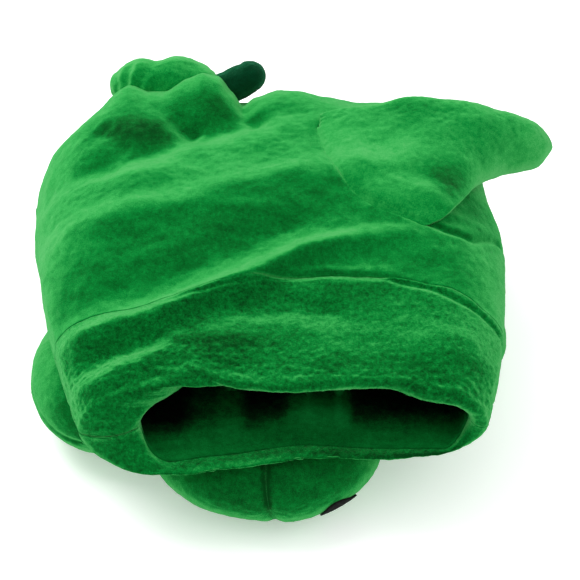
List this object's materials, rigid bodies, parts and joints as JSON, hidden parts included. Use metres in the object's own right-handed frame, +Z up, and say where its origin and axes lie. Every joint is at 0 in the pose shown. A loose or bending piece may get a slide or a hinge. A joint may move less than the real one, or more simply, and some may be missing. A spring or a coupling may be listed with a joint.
{
  "type": "moving mouth puppet",
  "caption": "Green plush hand puppet with a hinged mouth, a wide hand opening at the back, stuffed haunches and loose floppy arms.",
  "frame": {"origin": "on the surface that the puppet lies on, under the middle of its box", "axes": "+Z up, +Y towards the mouth, -Y out of the hand opening, +X to the right seen from the hand opening"},
  "size_m": [0.222, 0.236, 0.1032],
  "materials": {
    "plush_green": "short pile plush",
    "plush_dark": "short pile plush",
    "stuffing": "loose polyester fibre",
    "board": "plain sheet",
    "mouth_felt": "felt",
    "tongue_felt": "felt",
    "black_felt": "felt",
    "eye_plastic": "gloss",
    "washer_plastic": "satin"
  },
  "bodies": {
    "body": {"back_panel": "plush_green", "belly_panel": "plush_green", "cuff_upper": "plush_green", "cuff_lower": "plush_green", "hand_lining": "plush_dark", "shoulder_left": "plush_green", "shoulder_right": "plush_green", "rump_left": "plush_green", "rump_right": "plush_green", "rump_stuffing": "stuffing", "rump_patch": "black_felt", "haunch_left": "plush_green", "haunch_right": "plush_green", "haunch_stuffing_left": "stuffing", "haunch_stuffing_right": "stuffing"},
    "upper_jaw": {"crown": "plush_green", "crown_stuffing": "stuffing", "mouth_board_upper": "board", "mouth_lining_upper": "mouth_felt", "finger_pocket": "plush_dark", "eye_mound_left": "plush_green", "eye_mound_right": "plush_green", "eye_left": "eye_plastic", "eye_right": "eye_plastic", "eye_washer_left": "washer_plastic", "eye_washer_right": "washer_plastic", "nostril_left": "black_felt", "nostril_right": "black_felt"},
    "lower_jaw": {"chin": "plush_green", "chin_stuffing": "stuffing", "mouth_board_lower": "board", "mouth_lining_lower": "mouth_felt", "tongue": "tongue_felt", "thumb_pocket": "plush_dark"},
    "arm_left": {"arm_left_outer": "plush_green", "arm_left_palm": "plush_dark", "arm_left_stuffing": "stuffing"},
    "arm_right": {"arm_right_outer": "plush_green", "arm_right_palm": "plush_dark", "arm_right_stuffing": "stuffing"}
  },
  "joints": [
    {"name": "upper_jaw_lift", "type": "hinge", "parent": "body", "child": "upper_jaw", "pos_m": [-0.01099, 0.04601, 0.036], "axis": [1, 0, 0], "range_deg": [0, 16]},
    {"name": "lower_jaw_drop", "type": "hinge", "parent": "body", "child": "lower_jaw", "pos_m": [-0.01099, 0.04601, 0.036], "axis": [-1, 0, 0], "range_deg": [0, 16]},
    {"name": "arm_left_lift", "type": "hinge", "parent": "body", "child": "arm_left", "pos_m": [-0.08499, 0.08101, 0.08], "axis": [0, -1, 0], "range_deg": [0, 90]},
    {"name": "arm_right_lift", "type": "hinge", "parent": "body", "child": "arm_right", "pos_m": [0.03501, 0.01901, 0.0955], "axis": [0, -1, 0], "range_deg": [0, 90]}
  ]
}
